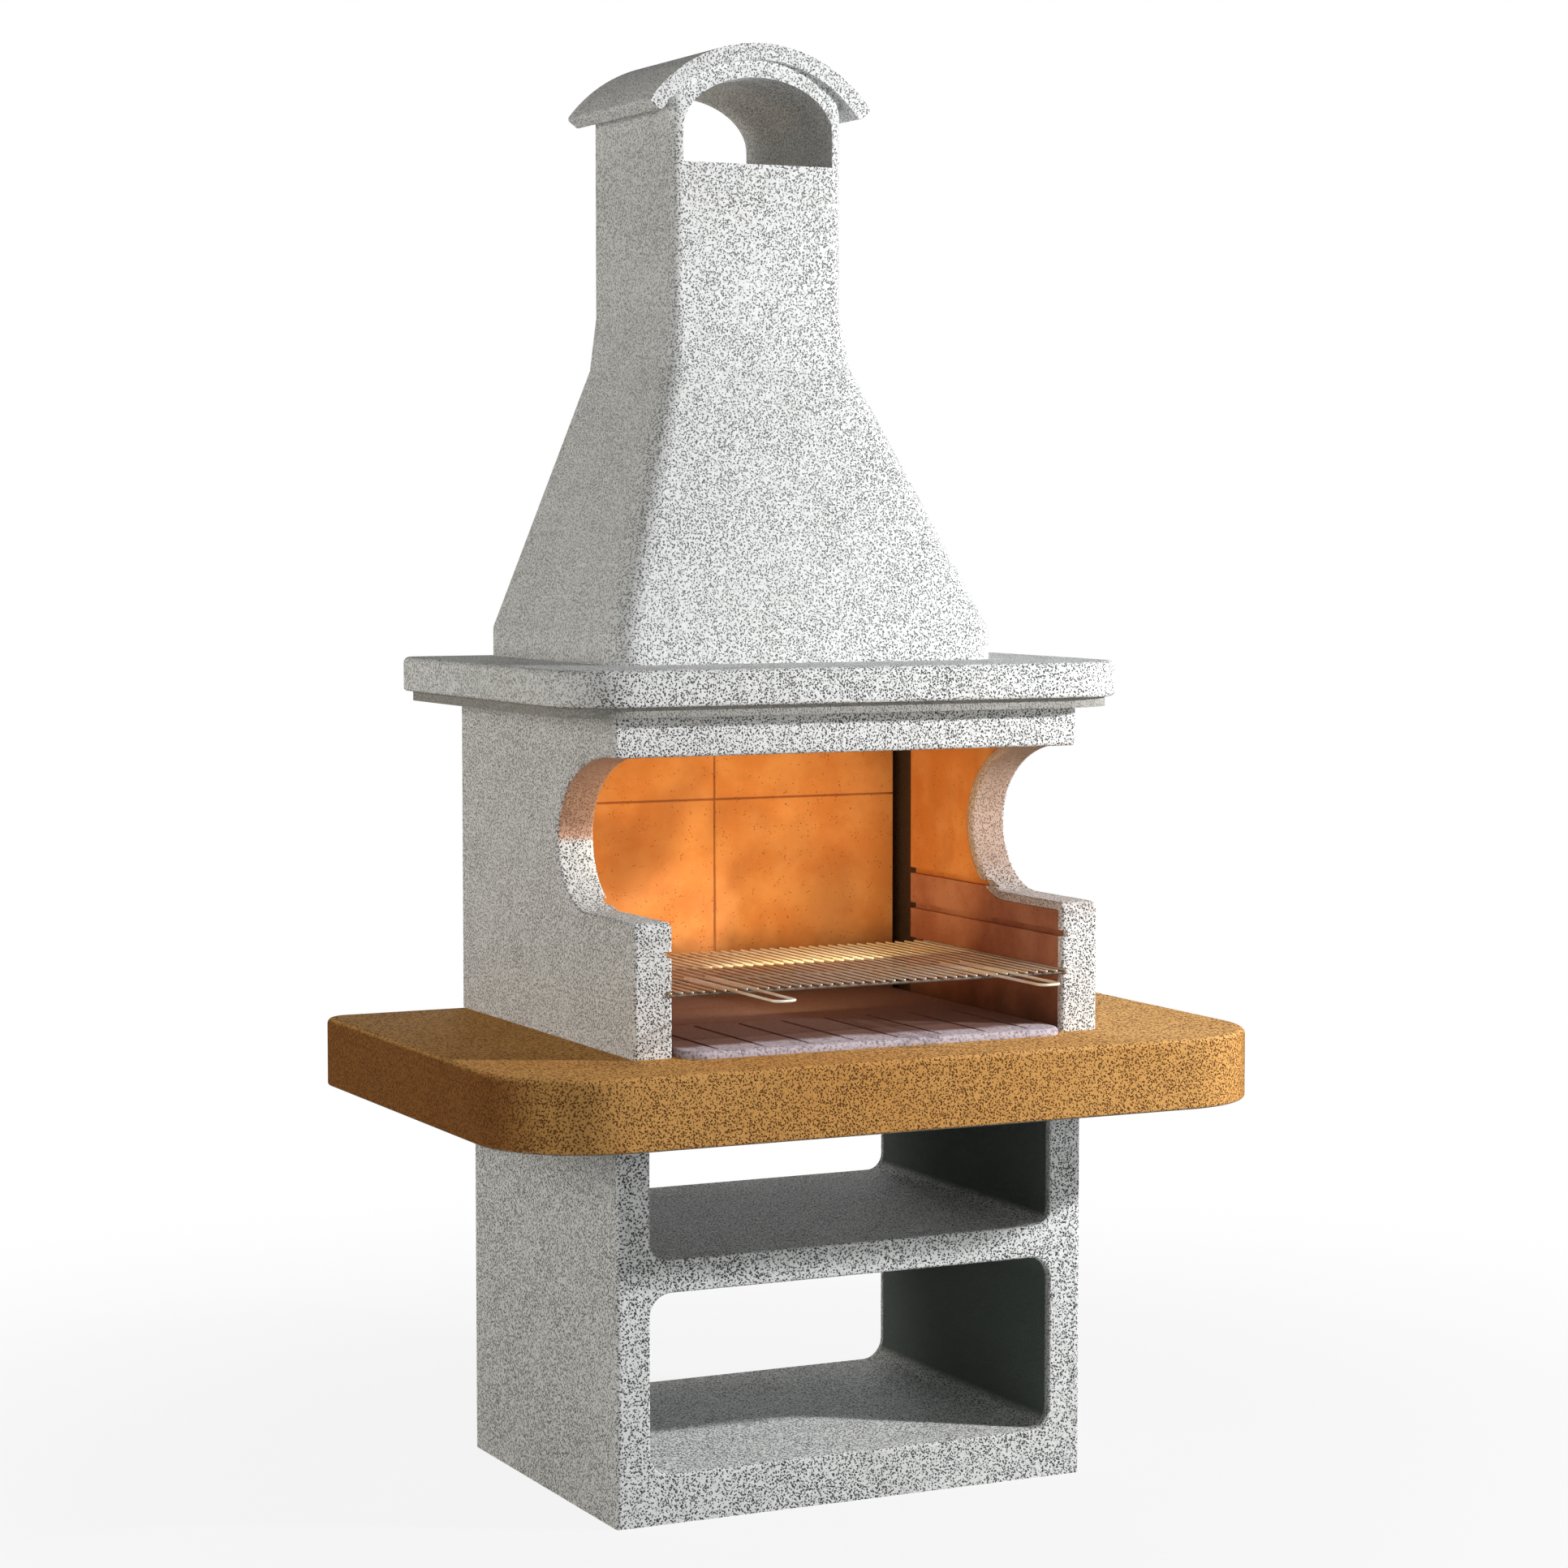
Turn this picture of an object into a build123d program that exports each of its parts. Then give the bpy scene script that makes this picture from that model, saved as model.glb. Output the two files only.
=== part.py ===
"""Outdoor masonry barbecue: cast base, worktop, lined fire chamber, hood, chimney and sliding grill.

Millimetres, +Z up, front towards -Y, origin on the ground under the middle of the whole.
"""
import os

from build123d import *

os.makedirs("parts", exist_ok=True)

# General
overrun = 5.0              # how far a cut runs past the face it opens

# Base: a lower ring round the wood store, and a U-shaped cradle that makes the shelf
base_width = 955.0
base_depth = 691.0
base_wall = 66.0
base_floor_thickness = 90.0
store_height = 330.0
ring_roof = 30.0
cradle_floor = 31.0
shelf_height = 244.0
store_corner = 42.0
shelf_corner = 32.0
base_arris = 8.0
mouth_arris = 5.0
base_setback = 263.0       # worktop's front edge to the base's front face

# Worktop
worktop_width = 1532.0
worktop_depth = 1022.0
worktop_thickness = 130.0
worktop_front_corner = 205.0
worktop_rear_corner = 50.0
worktop_top_round = 11.0
worktop_foot_round = 6.0

# Hearth slab
hearth_side_gap = 11.5      # to each cheek
hearth_overhang = 40.0     # in front of the cheeks
hearth_thickness = 30.0
hearth_seat = 17.0         # sunk into the worktop
hearth_gap = 1.5
hearth_rear_gap = 5.0
hearth_front_corner = 45.0
hearth_rear_corner = 10.0
hearth_edge_round = 9.0
slot_count = 8
slot_spacing = 90.0
slot_width = 8.0
slot_depth = 9.0
slot_length = 300.0
slot_setback = 26.0

# Fire chamber
chamber_width = 943.0
chamber_depth = 825.0
chamber_height = 600.0
cheek_thickness = 75.0
cheek_arris = 7.0
foot_height = 241.0
foot_round = 16.0
waist_depth = 351.0        # cheek's front face back to the deepest point of the scoop
waist_height = 128.0       # above the foot's top
waist_run = 135.0
back_wall_thickness = 85.0
back_tile_thickness = 65.0
back_tile_height = 402.0
tile_joint = 3.0

# Side linings, let into the cheeks
lining_thickness = 30.0
lining_lip = 15.0
lining_gap = 1.0
lining_rear_gap = 76.0     # to the face of the back tiles

# Rack grooves
groove_count = 3
groove_first = 107.0       # above the worktop
groove_spacing = 70.0
groove_height = 12.0
groove_depth = 12.0

# Front beam
beam_setback = 80.0
beam_thickness = 75.0
beam_height = 73.0
beam_seat = 17.0           # thickness of the cheek's horn under the beam's end
horn_setback = 28.0        # horn's tip behind the beam's front face
beam_side_gap = 0.5
beam_arris = 7.0

# Cornice
cornice_width = 1156.0
cornice_depth = 860.0
cornice_step_height = 19.0
cornice_band_height = 66.0
cornice_step_inset = 18.0
cornice_front_corner = 130.0
cornice_rear_corner = 30.0
cornice_top_round = 12.0
cornice_foot_round = 7.0
rear_overhang = 60.0       # cornice and hood behind the chamber's rear face
throat_width = 680.0
throat_depth = 400.0
throat_corner = 40.0

# Hood
hood_width = 798.0
hood_depth = 638.0
hood_wall = 36.0
hood_skirt_height = 56.0
hood_slope_height = 500.0
hood_neck_height = 104.0
hood_neck_flare = 20.0     # each side, neck's foot over the stack
hood_foot_corner = 55.0
hood_neck_corner = 38.0
hood_bore_corner = 14.0

# Chimney stack
stack_width = 357.0
stack_depth = 382.0
stack_rear_setback = 29.0  # behind which the hood's foot stands out
stack_wall = 22.0
stack_corner = 20.0
stack_bore_corner = 6.0
sill_height = 277.0        # stack's foot to the outlet's sill
jamb_height = 60.0
arch_rise = 103.0
crown_thickness = 32.0

# Chimney cap
eave_overhang = 54.0       # past the stack's sides
cap_rise = 117.0           # eaves' tips to the crown
cap_thickness = 31.0
cap_front_overhang = 15.0
cap_bed = 0.4
cap_arris = 7.0

# Grill
bar_spacing = 21.2
bar_diameter = 4.0
bar_end = 7.0              # past the end cross bars
cross_bar_count = 4
cross_bar_diameter = 6.0
grill_setback = 1.0        # front cross bar's middle behind the cheeks' front faces
grill_rear_room = 121.0    # behind its bars, to the face of the back tiles
groove_play = 3.5          # cross bar's end to the groove's bottom
running_gap = 0.3
handle_diameter = 5.0
handle_reach = 191.0       # in front of the front cross bar
handle_bend = 16.0
handle_inner_gap = 12      # legs lie in these gaps between bars, counted from the middle
handle_outer_gap = 14

# Levels
ring_height = base_floor_thickness + store_height + ring_roof
cradle_height = cradle_floor + shelf_height
base_height = ring_height + cradle_height
chamber_z = base_height + worktop_thickness
foot_top_z = chamber_z + foot_height
waist_z = foot_top_z + waist_height
chamber_top_z = chamber_z + chamber_height
beam_z = chamber_top_z - beam_height
hood_z = chamber_top_z + cornice_step_height + cornice_band_height
neck_z = hood_z + hood_skirt_height + hood_slope_height
stack_z = neck_z + hood_neck_height
sill_z = stack_z + sill_height
spring_z = sill_z + jamb_height
crown_z = spring_z + arch_rise
cap_half_width = stack_width / 2 + eave_overhang
cap_radius = (cap_half_width ** 2 + cap_rise ** 2) / (2 * cap_rise)
cap_foot_radius = cap_radius - cap_thickness
cap_centre_z = crown_z + crown_thickness - cap_foot_radius

# Places along the depth
front_y = -(worktop_depth + rear_overhang) / 2
hood_rear_y = (worktop_depth + rear_overhang) / 2
body_rear_y = hood_rear_y - rear_overhang
base_front_y = front_y + base_setback
cheek_front_y = body_rear_y - chamber_depth
waist_y = cheek_front_y + waist_depth
beam_front_y = cheek_front_y + beam_setback
beam_rear_y = beam_front_y + beam_thickness
horn_y = beam_front_y + horn_setback
back_wall_y = body_rear_y - back_wall_thickness
tile_face_y = back_wall_y - back_tile_thickness
lining_rear_y = tile_face_y - lining_rear_gap
hearth_front_y = cheek_front_y - hearth_overhang
hearth_depth = tile_face_y - hearth_rear_gap - hearth_front_y
grill_front_y = cheek_front_y + grill_setback
grill_depth = tile_face_y - grill_rear_room - grill_front_y + bar_end
throat_y = tile_face_y - throat_depth
cornice_front_y = hood_rear_y - cornice_depth
stack_rear_y = hood_rear_y - stack_rear_setback
stack_front_y = stack_rear_y - stack_depth

# Places across the width
outer_x = chamber_width / 2
inner_x = outer_x - cheek_thickness
lining_x = inner_x + lining_thickness
hearth_width = 2 * (inner_x - hearth_side_gap)
cross_bar_reach = inner_x + groove_depth - groove_play
bars_each_side = int((cross_bar_reach - bar_diameter / 2) / bar_spacing)


# Base ring: the wood store is open front to back
with BuildPart() as base_ring:
    with BuildSketch(Plane.XZ.offset(-base_front_y)):
        Rectangle(base_width, ring_height, align=(Align.CENTER, Align.MIN))
        with Locations((0, base_floor_thickness)):
            RectangleRounded(base_width - 2 * base_wall, store_height, store_corner,
                             align=(Align.CENTER, Align.MIN), mode=Mode.SUBTRACT)
    extrude(amount=-base_depth)
    uprights = base_ring.edges().filter_by(Axis.Z)
    fillet(uprights.group_by(Axis.X)[0] + uprights.group_by(Axis.X)[-1], radius=base_arris)
    for end in (0, -1):
        mouth = base_ring.faces().sort_by(Axis.Y)[end].inner_wires()[0]
        fillet(mouth.edges(), radius=mouth_arris)
base_ring.part.label = "base_ring"

# Base cradle: shelf floor with a side wall at each end
with BuildPart() as base_cradle:
    with BuildSketch(Plane.XZ.offset(-base_front_y)) as cradle_face:
        with Locations((0, ring_height)):
            Rectangle(base_width, cradle_height, align=(Align.CENTER, Align.MIN))
        with Locations((0, ring_height + cradle_floor)):
            Rectangle(base_width - 2 * base_wall, shelf_height,
                      align=(Align.CENTER, Align.MIN), mode=Mode.SUBTRACT)
        inner_corners = cradle_face.vertices().group_by(Axis.Y)[1]
        fillet(inner_corners, radius=shelf_corner)
    extrude(amount=-base_depth)
    uprights = base_cradle.edges().filter_by(Axis.Z)
    fillet(uprights.group_by(Axis.X)[0] + uprights.group_by(Axis.X)[-1], radius=base_arris)
    for end in (0, -1):
        mouth = base_cradle.faces().sort_by(Axis.Y)[end].edges().filter_by(
            lambda edge: abs(edge.center().X) < (base_width - base_wall) / 2
            and ring_height < edge.center().Z < base_height)
        fillet(mouth, radius=mouth_arris)
base_cradle.part.label = "base_cradle"

# Worktop
with BuildPart() as worktop:
    with BuildSketch(Plane.XY.offset(base_height)) as worktop_plan:
        with Locations((0, front_y)):
            Rectangle(worktop_width, worktop_depth, align=(Align.CENTER, Align.MIN))
        fillet(worktop_plan.vertices().group_by(Axis.Y)[0], radius=worktop_front_corner)
        fillet(worktop_plan.vertices().group_by(Axis.Y)[-1], radius=worktop_rear_corner)
    extrude(amount=worktop_thickness)
    fillet(worktop.faces().sort_by(Axis.Z)[-1].edges(), radius=worktop_top_round)
    fillet(worktop.faces().sort_by(Axis.Z)[0].edges(), radius=worktop_foot_round)
    with BuildSketch(Plane.XY.offset(chamber_z)) as seat_plan:
        with Locations((0, hearth_front_y - hearth_gap)):
            Rectangle(hearth_width + 2 * hearth_gap, hearth_depth + 2 * hearth_gap,
                      align=(Align.CENTER, Align.MIN))
        fillet(seat_plan.vertices().group_by(Axis.Y)[0], radius=hearth_front_corner + hearth_gap)
        fillet(seat_plan.vertices().group_by(Axis.Y)[-1], radius=hearth_rear_corner + hearth_gap)
    extrude(amount=-hearth_seat, mode=Mode.SUBTRACT)
worktop.part.label = "worktop"

# Hearth slab with its blind slots
with BuildPart() as hearth_slab:
    with BuildSketch(Plane.XY.offset(chamber_z - hearth_seat)) as hearth_plan:
        with Locations((0, hearth_front_y)):
            Rectangle(hearth_width, hearth_depth, align=(Align.CENTER, Align.MIN))
        fillet(hearth_plan.vertices().group_by(Axis.Y)[0], radius=hearth_front_corner)
        fillet(hearth_plan.vertices().group_by(Axis.Y)[-1], radius=hearth_rear_corner)
    extrude(amount=hearth_thickness)
    fillet(hearth_slab.faces().sort_by(Axis.Z)[-1].edges(), radius=hearth_edge_round)
    with BuildSketch(Plane.XY.offset(chamber_z - hearth_seat + hearth_thickness)):
        with Locations((0, hearth_front_y + slot_setback + slot_length / 2)):
            with GridLocations(slot_spacing, 0, slot_count, 1):
                SlotOverall(slot_length, slot_width, rotation=90)
    extrude(amount=-slot_depth, mode=Mode.SUBTRACT)
hearth_slab.part.label = "hearth_slab"

# Outlines of the lining and of the room cut for it, set back from the cheek's front edges
lining_outlines = {}
for outline_name, margin in (("room", lining_lip), ("panel", lining_lip + lining_gap)):
    with BuildSketch(Plane.YZ) as outline:
        with BuildLine():
            foot_line = Polyline(
                (back_wall_y, chamber_top_z),
                (back_wall_y, chamber_z),
                (cheek_front_y + margin, chamber_z),
                (cheek_front_y + margin, foot_top_z - margin),
                (waist_y - waist_run, foot_top_z - margin),
            )
            lower_scoop = EllipticalCenterArc(
                (waist_y - waist_run, waist_z), waist_run + margin, waist_height + margin,
                start_angle=270, arc_size=90,
            )
            upper_scoop = EllipticalCenterArc(
                (horn_y, waist_z), waist_y - horn_y + margin,
                beam_z - waist_z + margin, start_angle=0, arc_size=90,
            )
            Polyline(upper_scoop @ 1, (horn_y, chamber_top_z), foot_line @ 0)
        make_face()
        with Locations((beam_rear_y, waist_z)):
            Rectangle(beam_thickness + overrun, chamber_top_z - waist_z + overrun,
                      align=(Align.MAX, Align.MIN), mode=Mode.SUBTRACT)
    lining_outlines[outline_name] = outline.sketch

# Right cheek: scooped front edge, horn under the beam, room for the linings, groove mouths
with BuildPart() as cheek:
    with BuildSketch(Plane.YZ.offset(inner_x)) as cheek_face:
        with BuildLine():
            foot_line = Polyline(
                (beam_rear_y, chamber_top_z),
                (body_rear_y, chamber_top_z),
                (body_rear_y, chamber_z),
                (cheek_front_y, chamber_z),
                (cheek_front_y, foot_top_z),
                (waist_y - waist_run, foot_top_z),
            )
            EllipticalCenterArc((waist_y - waist_run, waist_z), waist_run, waist_height,
                                start_angle=270, arc_size=90)
            upper_scoop = EllipticalCenterArc(
                (horn_y, waist_z), waist_y - horn_y, beam_z - waist_z,
                start_angle=0, arc_size=90,
            )
            Polyline(upper_scoop @ 1, (horn_y, beam_z + beam_seat),
                     (beam_rear_y, beam_z + beam_seat), foot_line @ 0)
        make_face()
        foot_tip = cheek_face.vertices().group_by(Axis.X)[0].sort_by(Axis.Y)[-1]
        fillet(foot_tip, radius=foot_round)
    extrude(amount=cheek_thickness)
    foot_front = cheek.edges().filter_by(Axis.Z).group_by(Axis.Y)[0]
    fillet(foot_front, radius=cheek_arris)
    add(extrude(lining_outlines["room"].moved(Location((inner_x, 0, 0))),
                amount=lining_thickness, mode=Mode.PRIVATE), mode=Mode.SUBTRACT)
    with BuildSketch(Plane.YZ.offset(inner_x)):
        with Locations((cheek_front_y - overrun, chamber_z + groove_first)):
            for level in range(groove_count):
                with Locations((0, level * groove_spacing)):
                    Rectangle(lining_rear_y - cheek_front_y, groove_height,
                              align=(Align.MIN, Align.MIN))
    extrude(amount=groove_depth, mode=Mode.SUBTRACT)
cheek.part.label = "cheek_right"

# Back wall between the cheeks
with BuildPart() as back_wall:
    with BuildSketch(Plane.XY.offset(chamber_z)):
        with Locations((0, back_wall_y)):
            Rectangle(2 * inner_x, back_wall_thickness, align=(Align.CENTER, Align.MIN))
    extrude(amount=chamber_height)
back_wall.part.label = "back_wall"

# Right side linings: the third groove runs along the upper panel's foot
lining_split_z = chamber_z + groove_first + (groove_count - 1) * groove_spacing
with BuildPart() as side_lining_lower:
    add(extrude(lining_outlines["panel"].moved(Location((inner_x, 0, 0))),
                amount=lining_thickness, mode=Mode.PRIVATE))
    with BuildSketch(Plane.XY.offset(lining_split_z)):
        with Locations((lining_x, cheek_front_y)):
            Rectangle(cheek_thickness, chamber_depth, align=(Align.MAX, Align.MIN))
    extrude(amount=chamber_height, mode=Mode.SUBTRACT)
    with BuildSketch(Plane.XY.offset(chamber_z)):
        with Locations((lining_x, lining_rear_y)):
            Rectangle(cheek_thickness, chamber_depth, align=(Align.MAX, Align.MIN))
    extrude(amount=chamber_height, mode=Mode.SUBTRACT)
    with BuildSketch(Plane.YZ.offset(inner_x)):
        with Locations((cheek_front_y, chamber_z + groove_first)):
            for level in range(groove_count - 1):
                with Locations((0, level * groove_spacing)):
                    Rectangle(chamber_depth, groove_height, align=(Align.MIN, Align.MIN))
    extrude(amount=groove_depth, mode=Mode.SUBTRACT)
side_lining_lower.part.label = "side_lining_lower_right"

with BuildPart() as side_lining_upper:
    add(extrude(lining_outlines["panel"].moved(Location((inner_x, 0, 0))),
                amount=lining_thickness, mode=Mode.PRIVATE))
    with BuildSketch(Plane.XY.offset(lining_split_z)):
        with Locations((lining_x, cheek_front_y)):
            Rectangle(cheek_thickness, chamber_depth, align=(Align.MAX, Align.MIN))
    extrude(amount=-chamber_height, mode=Mode.SUBTRACT)
    with BuildSketch(Plane.XY.offset(chamber_z)):
        with Locations((lining_x, lining_rear_y)):
            Rectangle(cheek_thickness, chamber_depth, align=(Align.MAX, Align.MIN))
    extrude(amount=chamber_height, mode=Mode.SUBTRACT)
    with BuildSketch(Plane.YZ.offset(inner_x)):
        with Locations((cheek_front_y, lining_split_z)):
            Rectangle(chamber_depth, groove_height, align=(Align.MIN, Align.MIN))
    extrude(amount=groove_depth, mode=Mode.SUBTRACT)
side_lining_upper.part.label = "side_lining_upper_right"

# Right back tiles: a tall one below, a low one above, joints on the centre line and between them
tile_rows = (("lower", 0, back_tile_height - tile_joint / 2),
             ("upper", back_tile_height + tile_joint / 2, chamber_height))
back_tiles = []
for row_name, row_foot, row_top in tile_rows:
    with BuildPart() as tile:
        with BuildSketch(Plane.XY.offset(chamber_z + row_foot)):
            with Locations((tile_joint / 2, tile_face_y)):
                Rectangle(inner_x - tile_joint / 2, back_tile_thickness,
                          align=(Align.MIN, Align.MIN))
        extrude(amount=row_top - row_foot)
        chamfer(tile.faces().sort_by(Axis.Y)[0].edges(), length=tile_joint / 2)
    tile.part.label = "back_tile_" + row_name + "_right"
    back_tiles.append(tile)

# Front beam: notched at its ends over the cheeks' horns, behind a lip
with BuildPart() as front_beam:
    with BuildSketch(Plane.YZ.offset(-outer_x)):
        with Locations((beam_front_y, beam_z)):
            Rectangle(beam_thickness, beam_height, align=(Align.MIN, Align.MIN))
    extrude(amount=chamber_width)
    with BuildSketch(Plane.XY.offset(beam_z)):
        for side in (-1, 1):
            with Locations((side * (outer_x + inner_x - beam_side_gap) / 2, beam_rear_y)):
                Rectangle(cheek_thickness + beam_side_gap,
                          beam_rear_y - horn_y + beam_side_gap,
                          align=(Align.CENTER, Align.MAX))
    extrude(amount=beam_seat, mode=Mode.SUBTRACT)
    foot_edges = front_beam.edges().filter_by(Axis.X).group_by(Axis.Z)[0]
    fillet(foot_edges.sort_by(Axis.Y)[0], radius=beam_arris)
    beam_ends = front_beam.edges().filter_by(Axis.Z).group_by(Axis.Y)[0]
    fillet(beam_ends.group_by(Axis.X)[0] + beam_ends.group_by(Axis.X)[-1], radius=beam_arris)
front_beam.part.label = "front_beam"

# Cornice: a stepped moulding round a slab, pierced by the smoke throat
with BuildPart() as cornice:
    for step_z, step_height, inset in (
        (chamber_top_z, cornice_step_height, cornice_step_inset),
        (chamber_top_z + cornice_step_height, cornice_band_height, 0),
    ):
        with BuildSketch(Plane.XY.offset(step_z)) as course:
            with Locations((0, cornice_front_y + inset)):
                Rectangle(cornice_width - 2 * inset, cornice_depth - 2 * inset,
                          align=(Align.CENTER, Align.MIN))
            fillet(course.vertices().group_by(Axis.Y)[0], radius=cornice_front_corner - inset)
            fillet(course.vertices().group_by(Axis.Y)[-1], radius=cornice_rear_corner - inset)
        extrude(amount=step_height)
    fillet(cornice.faces().sort_by(Axis.Z)[-1].edges(), radius=cornice_top_round)
    band_foot = cornice.faces().filter_by(Axis.Z).group_by(Axis.Z)[1]
    fillet(band_foot[0].outer_wire().edges(), radius=cornice_foot_round)
    with BuildSketch(Plane.XY.offset(chamber_top_z)):
        with Locations((0, throat_y)):
            RectangleRounded(throat_width, throat_depth, throat_corner,
                             align=(Align.CENTER, Align.MIN))
    extrude(amount=hood_z - chamber_top_z, mode=Mode.SUBTRACT)
cornice.part.label = "cornice"

# Hood: skirt, tapering body and neck, all hollow, with the rear face near upright
stack_y = (stack_front_y + stack_rear_y) / 2
foot_y = hood_rear_y - hood_depth / 2
hood_levels = (
    (hood_z, hood_width, hood_depth, foot_y, hood_foot_corner),
    (hood_z + hood_skirt_height, hood_width, hood_depth, foot_y, hood_foot_corner),
    (neck_z, stack_width + 2 * hood_neck_flare, stack_depth + hood_neck_flare,
     stack_y - hood_neck_flare / 2, hood_neck_corner),
    (stack_z, stack_width, stack_depth, stack_y, stack_corner),
)
with BuildPart() as hood:
    for wall, corner_wall, shell_mode in ((0, 0, Mode.ADD), (hood_wall, 1, Mode.SUBTRACT)):
        for foot, top in zip(hood_levels[:-1], hood_levels[1:]):
            sections = []
            for z, width, depth, middle_y, corner in (foot, top):
                with BuildSketch(Plane.XY.offset(z)) as section:
                    with Locations((0, middle_y)):
                        RectangleRounded(width - 2 * wall, depth - 2 * wall,
                                         hood_bore_corner if corner_wall else corner)
                sections.append(section.sketch)
            loft(sections=sections, ruled=True, mode=shell_mode)
hood.part.label = "hood"

# Chimney stack: the flue ends in a vault that is open front and back
bore_half = stack_width / 2 - stack_wall
with BuildPart() as chimney_stack:
    with BuildSketch(Plane.XY.offset(stack_z)):
        with Locations((0, stack_y)):
            RectangleRounded(stack_width, stack_depth, stack_corner)
    extrude(amount=crown_z + crown_thickness - stack_z)
    with BuildSketch(Plane.XZ.offset(-stack_front_y + overrun)):
        with Locations((0, cap_centre_z)):
            Circle(cap_foot_radius - cap_bed)
        with Locations((0, stack_z)):
            Rectangle(stack_width + overrun, sill_height + jamb_height / 2,
                      align=(Align.CENTER, Align.MIN))
    extrude(amount=-stack_depth - 2 * overrun, mode=Mode.INTERSECT)
    with BuildSketch(Plane.XY.offset(stack_z)):
        with Locations((0, stack_y)):
            RectangleRounded(2 * bore_half, stack_depth - 2 * stack_wall, stack_bore_corner)
    extrude(amount=spring_z - stack_z, mode=Mode.SUBTRACT)
    with BuildSketch(Plane.XZ.offset(-stack_front_y + overrun)):
        with Locations((0, spring_z)):
            Ellipse(bore_half, arch_rise)
            Rectangle(stack_width, arch_rise, align=(Align.CENTER, Align.MAX),
                      mode=Mode.SUBTRACT)
            Rectangle(2 * bore_half, jamb_height, align=(Align.CENTER, Align.MAX))
    extrude(amount=-stack_depth - 2 * overrun, mode=Mode.SUBTRACT)
chimney_stack.part.label = "chimney_stack"

# Chimney cap: an arched slab over the vault, its eaves cut square to the arch
cap_front_y = stack_front_y - cap_front_overhang
eave_rise = cap_radius - cap_rise
with BuildPart() as chimney_cap:
    with BuildSketch(Plane.XZ.offset(-cap_front_y)):
        with Locations((0, cap_centre_z)):
            Circle(cap_radius)
            Circle(cap_foot_radius, mode=Mode.SUBTRACT)
            Polygon((0, 0), (2 * cap_half_width, 2 * eave_rise),
                    (2 * cap_half_width, 2 * eave_rise + 2 * cap_radius),
                    (-2 * cap_half_width, 2 * eave_rise + 2 * cap_radius),
                    (-2 * cap_half_width, 2 * eave_rise), align=None, mode=Mode.INTERSECT)
    extrude(amount=-stack_depth - cap_front_overhang)
    eaves = chimney_cap.edges().filter_by(Axis.Y)
    fillet(eaves, radius=cap_arris)
chimney_cap.part.label = "chimney_cap"

# Grill: long bars on top of cross bars, whose ends run in the lowest grooves
cross_z = chamber_z + groove_first + running_gap + cross_bar_diameter / 2
bar_z = cross_z + (cross_bar_diameter + bar_diameter) / 2
handle_z = cross_z + (cross_bar_diameter + handle_diameter) / 2
cross_span = (grill_depth - 2 * bar_end) / (cross_bar_count - 1)
with BuildPart() as grill_bars:
    with BuildSketch(Plane.XZ.offset(bar_end - grill_front_y)):
        with Locations((0, bar_z)):
            with GridLocations(bar_spacing, 0, 2 * bars_each_side + 1, 1):
                Circle(bar_diameter / 2)
    extrude(amount=-grill_depth)
grill_bars.part.label = "grill_bars"

with BuildPart() as grill_cross_bars:
    with BuildSketch(Plane.YZ.offset(-cross_bar_reach)):
        for row in range(cross_bar_count):
            with Locations((grill_front_y + row * cross_span, cross_z)):
                Circle(cross_bar_diameter / 2)
    extrude(amount=2 * cross_bar_reach)
grill_cross_bars.part.label = "grill_cross_bars"

# Right handle: a wire loop whose legs lie between bars and end on the second cross bar
inner_leg_x = (2 * handle_inner_gap - 1) * bar_spacing / 2
outer_leg_x = (2 * handle_outer_gap - 1) * bar_spacing / 2
leg_end_y = grill_front_y + cross_span + bar_end
tip_y = grill_front_y - handle_reach
with BuildPart() as grill_handle:
    with BuildLine(Plane.XY.offset(handle_z)) as loop:
        FilletPolyline(
            (inner_leg_x, leg_end_y), (inner_leg_x, tip_y),
            (outer_leg_x, tip_y), (outer_leg_x, leg_end_y), radius=handle_bend,
        )
    with BuildSketch(Plane(origin=loop.wires()[0] @ 0, z_dir=loop.wires()[0] % 0)):
        Circle(handle_diameter / 2)
    sweep()
grill_handle.part.label = "grill_handle_right"

# Write every piece, and the left-hand twins of the right-hand ones
for piece in (base_ring, base_cradle, worktop, hearth_slab, back_wall, front_beam, cornice,
              hood, chimney_stack, chimney_cap, grill_bars, grill_cross_bars):
    export_step(piece.part, "parts/" + piece.part.label + ".step")

for piece in (cheek, side_lining_lower, side_lining_upper, *back_tiles, grill_handle):
    export_step(piece.part, "parts/" + piece.part.label + ".step")
    with BuildPart() as twin:
        mirror(piece.part, about=Plane.YZ)
    twin.part.label = piece.part.label.replace("right", "left")
    export_step(twin.part, "parts/" + twin.part.label + ".step")
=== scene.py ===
"""Outdoor masonry barbecue, dressed for a plain studio.

Metres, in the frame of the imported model: +Z up, front towards -Y, ground at Z = 0.
"""

from __future__ import annotations

import logging
import math
from dataclasses import dataclass
from enum import Enum

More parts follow.
